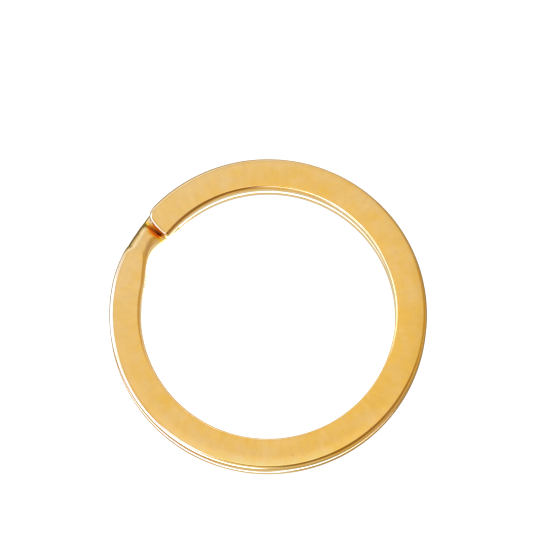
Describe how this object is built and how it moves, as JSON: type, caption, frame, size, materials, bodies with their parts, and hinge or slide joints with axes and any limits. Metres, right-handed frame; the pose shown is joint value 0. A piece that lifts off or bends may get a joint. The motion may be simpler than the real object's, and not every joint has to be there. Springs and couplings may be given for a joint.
{
  "type": "split key ring",
  "caption": "Flat split key ring wound from gold-plated spring strip, with a stepped crossover and two free ends that spring open so that keys can be slipped on.",
  "frame": {"origin": "centre of the ring, half way up its height, on the plane between the two turns", "axes": "+Z is the winding axis, with the front turn on the +Z side; +X and +Y lie in the plane of the ring, and the crossover's middle is 151.2 degrees counter-clockwise from +X seen from +Z"},
  "size_m": [0.025, 0.025, 0.0024],
  "materials": {
    "pressed_strip_gold": "satin",
    "round_wire_gold": "gloss"
  },
  "bodies": {
    "seated_coil": {"front_seated_arc": "pressed_strip_gold", "crossover": "round_wire_gold", "back_seated_arc": "pressed_strip_gold"},
    "front_flex_arc_5": {"front_flex_arc_5": "pressed_strip_gold"},
    "front_flex_arc_4": {"front_flex_arc_4": "pressed_strip_gold"},
    "front_flex_arc_3": {"front_flex_arc_3": "pressed_strip_gold"},
    "front_flex_arc_2": {"front_flex_arc_2": "pressed_strip_gold"},
    "front_flex_arc_1": {"front_flex_arc_1": "pressed_strip_gold"},
    "front_free_end": {"front_free_end": "pressed_strip_gold"},
    "back_flex_arc_5": {"back_flex_arc_5": "pressed_strip_gold"},
    "back_flex_arc_4": {"back_flex_arc_4": "pressed_strip_gold"},
    "back_flex_arc_3": {"back_flex_arc_3": "pressed_strip_gold"},
    "back_flex_arc_2": {"back_flex_arc_2": "pressed_strip_gold"},
    "back_flex_arc_1": {"back_flex_arc_1": "pressed_strip_gold"},
    "back_free_end": {"back_free_end": "pressed_strip_gold"}
  },
  "joints": [
    {"name": "front_open", "type": "hinge", "parent": "seated_coil", "child": "front_flex_arc_5", "pos_m": [0.00874, -0.00708, 0.00064], "axis": [0.6293, 0.7771, 0], "range_deg": [0, 2.18], "stiffness_Nm_per_rad": 0.005},
    {"name": "front_bend_5", "type": "hinge", "parent": "front_flex_arc_5", "child": "front_flex_arc_4", "pos_m": [0.01111, -0.00176, 0.00064], "axis": [0.4067, 0.9135, 0], "range_deg": [0, 2.11], "stiffness_Nm_per_rad": 0.005},
    {"name": "front_bend_4", "type": "hinge", "parent": "front_flex_arc_4", "child": "front_flex_arc_3", "pos_m": [0.0105, 0.00403, 0.00064], "axis": [0.1564, 0.9877, 0], "range_deg": [0, 1.89], "stiffness_Nm_per_rad": 0.005},
    {"name": "front_bend_3", "type": "hinge", "parent": "front_flex_arc_3", "child": "front_flex_arc_2", "pos_m": [0.00708, 0.00874, 0.00064], "axis": [-0.1045, 0.9945, 0], "range_deg": [0, 1.55], "stiffness_Nm_per_rad": 0.005},
    {"name": "front_bend_2", "type": "hinge", "parent": "front_flex_arc_2", "child": "front_flex_arc_1", "pos_m": [0.00176, 0.01111, 0.00064], "axis": [-0.3584, 0.9336, 0], "range_deg": [0, 1.09], "stiffness_Nm_per_rad": 0.005},
    {"name": "front_bend_1", "type": "hinge", "parent": "front_flex_arc_1", "child": "front_free_end", "pos_m": [-0.00403, 0.0105, 0.00064], "axis": [-0.5878, 0.809, 0], "range_deg": [0, 0.569], "stiffness_Nm_per_rad": 0.005},
    {"name": "back_open", "type": "hinge", "parent": "seated_coil", "child": "back_flex_arc_5", "pos_m": [0.01066, -0.00359, -0.00064], "axis": [-0.319, -0.9478, 0], "range_deg": [0, 2.18], "stiffness_Nm_per_rad": 0.005},
    {"name": "back_bend_5", "type": "hinge", "parent": "back_flex_arc_5", "child": "back_flex_arc_4", "pos_m": [0.00744, -0.00844, -0.00064], "axis": [-0.5534, -0.8329, 0], "range_deg": [0, 2.11], "stiffness_Nm_per_rad": 0.005},
    {"name": "back_bend_4", "type": "hinge", "parent": "back_flex_arc_4", "child": "back_flex_arc_3", "pos_m": [0.00222, -0.01103, -0.00064], "axis": [-0.7501, -0.6613, 0], "range_deg": [0, 1.89], "stiffness_Nm_per_rad": 0.005},
    {"name": "back_bend_3", "type": "hinge", "parent": "back_flex_arc_3", "child": "back_flex_arc_2", "pos_m": [-0.00359, -0.01066, -0.00064], "axis": [-0.8957, -0.4446, 0], "range_deg": [0, 1.55], "stiffness_Nm_per_rad": 0.005},
    {"name": "back_bend_2", "type": "hinge", "parent": "back_flex_arc_2", "child": "back_flex_arc_1", "pos_m": [-0.00844, -0.00744, -0.00064], "axis": [-0.9803, -0.1977, 0], "range_deg": [0, 1.09], "stiffness_Nm_per_rad": 0.005},
    {"name": "back_bend_1", "type": "hinge", "parent": "back_flex_arc_1", "child": "back_free_end", "pos_m": [-0.01103, -0.00222, -0.00064], "axis": [-0.998, 0.0628, 0], "range_deg": [0, 0.569], "stiffness_Nm_per_rad": 0.005}
  ],
  "couplings": [
    {"joint": "front_bend_5", "follows": "front_open", "ratio": 0.96593},
    {"joint": "front_bend_4", "follows": "front_open", "ratio": 0.86603},
    {"joint": "front_bend_3", "follows": "front_open", "ratio": 0.70711},
    {"joint": "front_bend_2", "follows": "front_open", "ratio": 0.5},
    {"joint": "front_bend_1", "follows": "front_open", "ratio": 0.25882},
    {"joint": "back_bend_5", "follows": "back_open", "ratio": 0.96593},
    {"joint": "back_bend_4", "follows": "back_open", "ratio": 0.86603},
    {"joint": "back_bend_3", "follows": "back_open", "ratio": 0.70711},
    {"joint": "back_bend_2", "follows": "back_open", "ratio": 0.5},
    {"joint": "back_bend_1", "follows": "back_open", "ratio": 0.25882}
  ]
}
